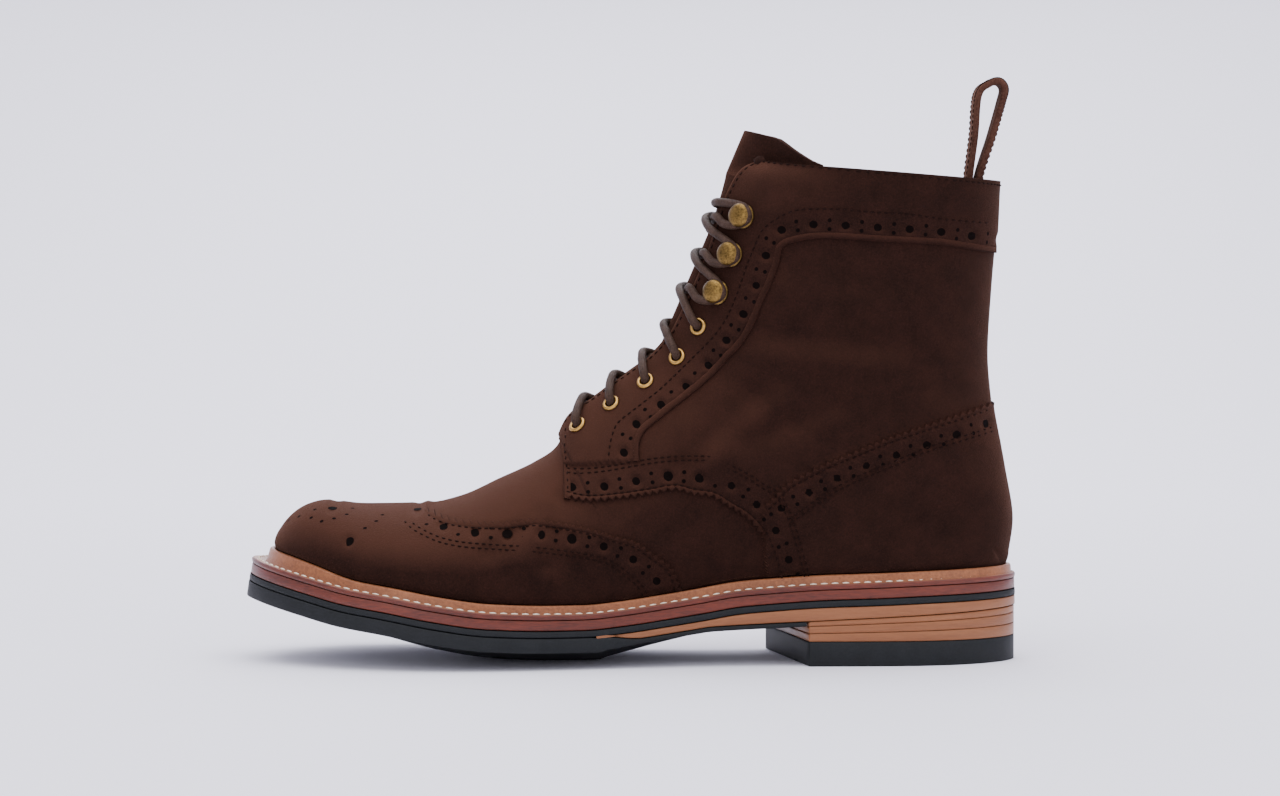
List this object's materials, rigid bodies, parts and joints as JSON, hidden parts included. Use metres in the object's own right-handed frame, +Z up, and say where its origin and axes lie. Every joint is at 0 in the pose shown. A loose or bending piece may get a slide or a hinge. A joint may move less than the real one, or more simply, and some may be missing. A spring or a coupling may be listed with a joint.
{
  "type": "brogue boot",
  "caption": "Dark brown suede lace-up boot with wing-cap brogueing, tan storm welt, stacked heel, brass eyelets and speed hooks, and a pull loop",
  "frame": {"origin": "on the floor under the middle of the heel's front half, on the boot's long middle line", "axes": "+X towards the heel's back, so the toe points along -X; +Y towards the medial side; +Z up"},
  "size_m": [0.3044, 0.1079, 0.2288],
  "materials": {
    "suede": "napped suede, matte",
    "tan_leather": "burnished veg-tanned leather, satin",
    "red_leather": "stained leather edge, satin",
    "insole_leather": "plain leather, matte",
    "rubber": "moulded, matte",
    "brass": "aged brass",
    "waxed_cotton": "round waxed cord"
  },
  "bodies": {
    "root": {"outsole": "rubber", "runner": "rubber", "top_piece": "rubber", "midsole": "red_leather", "wedge": "tan_leather", "lift_1": "tan_leather", "lift_2": "tan_leather", "lift_3": "tan_leather", "welt": "tan_leather", "insole": "insole_leather", "upper": "suede", "tongue": "suede", "pull_loop": "suede", "lace": "waxed_cotton", "eyelet_1_lateral": "brass", "eyelet_2_lateral": "brass", "eyelet_3_lateral": "brass", "eyelet_4_lateral": "brass", "eyelet_5_lateral": "brass", "eyelet_1_medial": "brass", "eyelet_2_medial": "brass", "eyelet_3_medial": "brass", "eyelet_4_medial": "brass", "eyelet_5_medial": "brass", "hook_1_lateral": "brass", "hook_2_lateral": "brass", "hook_3_lateral": "brass", "hook_1_medial": "brass", "hook_2_medial": "brass", "hook_3_medial": "brass"}
  },
  "joints": []
}
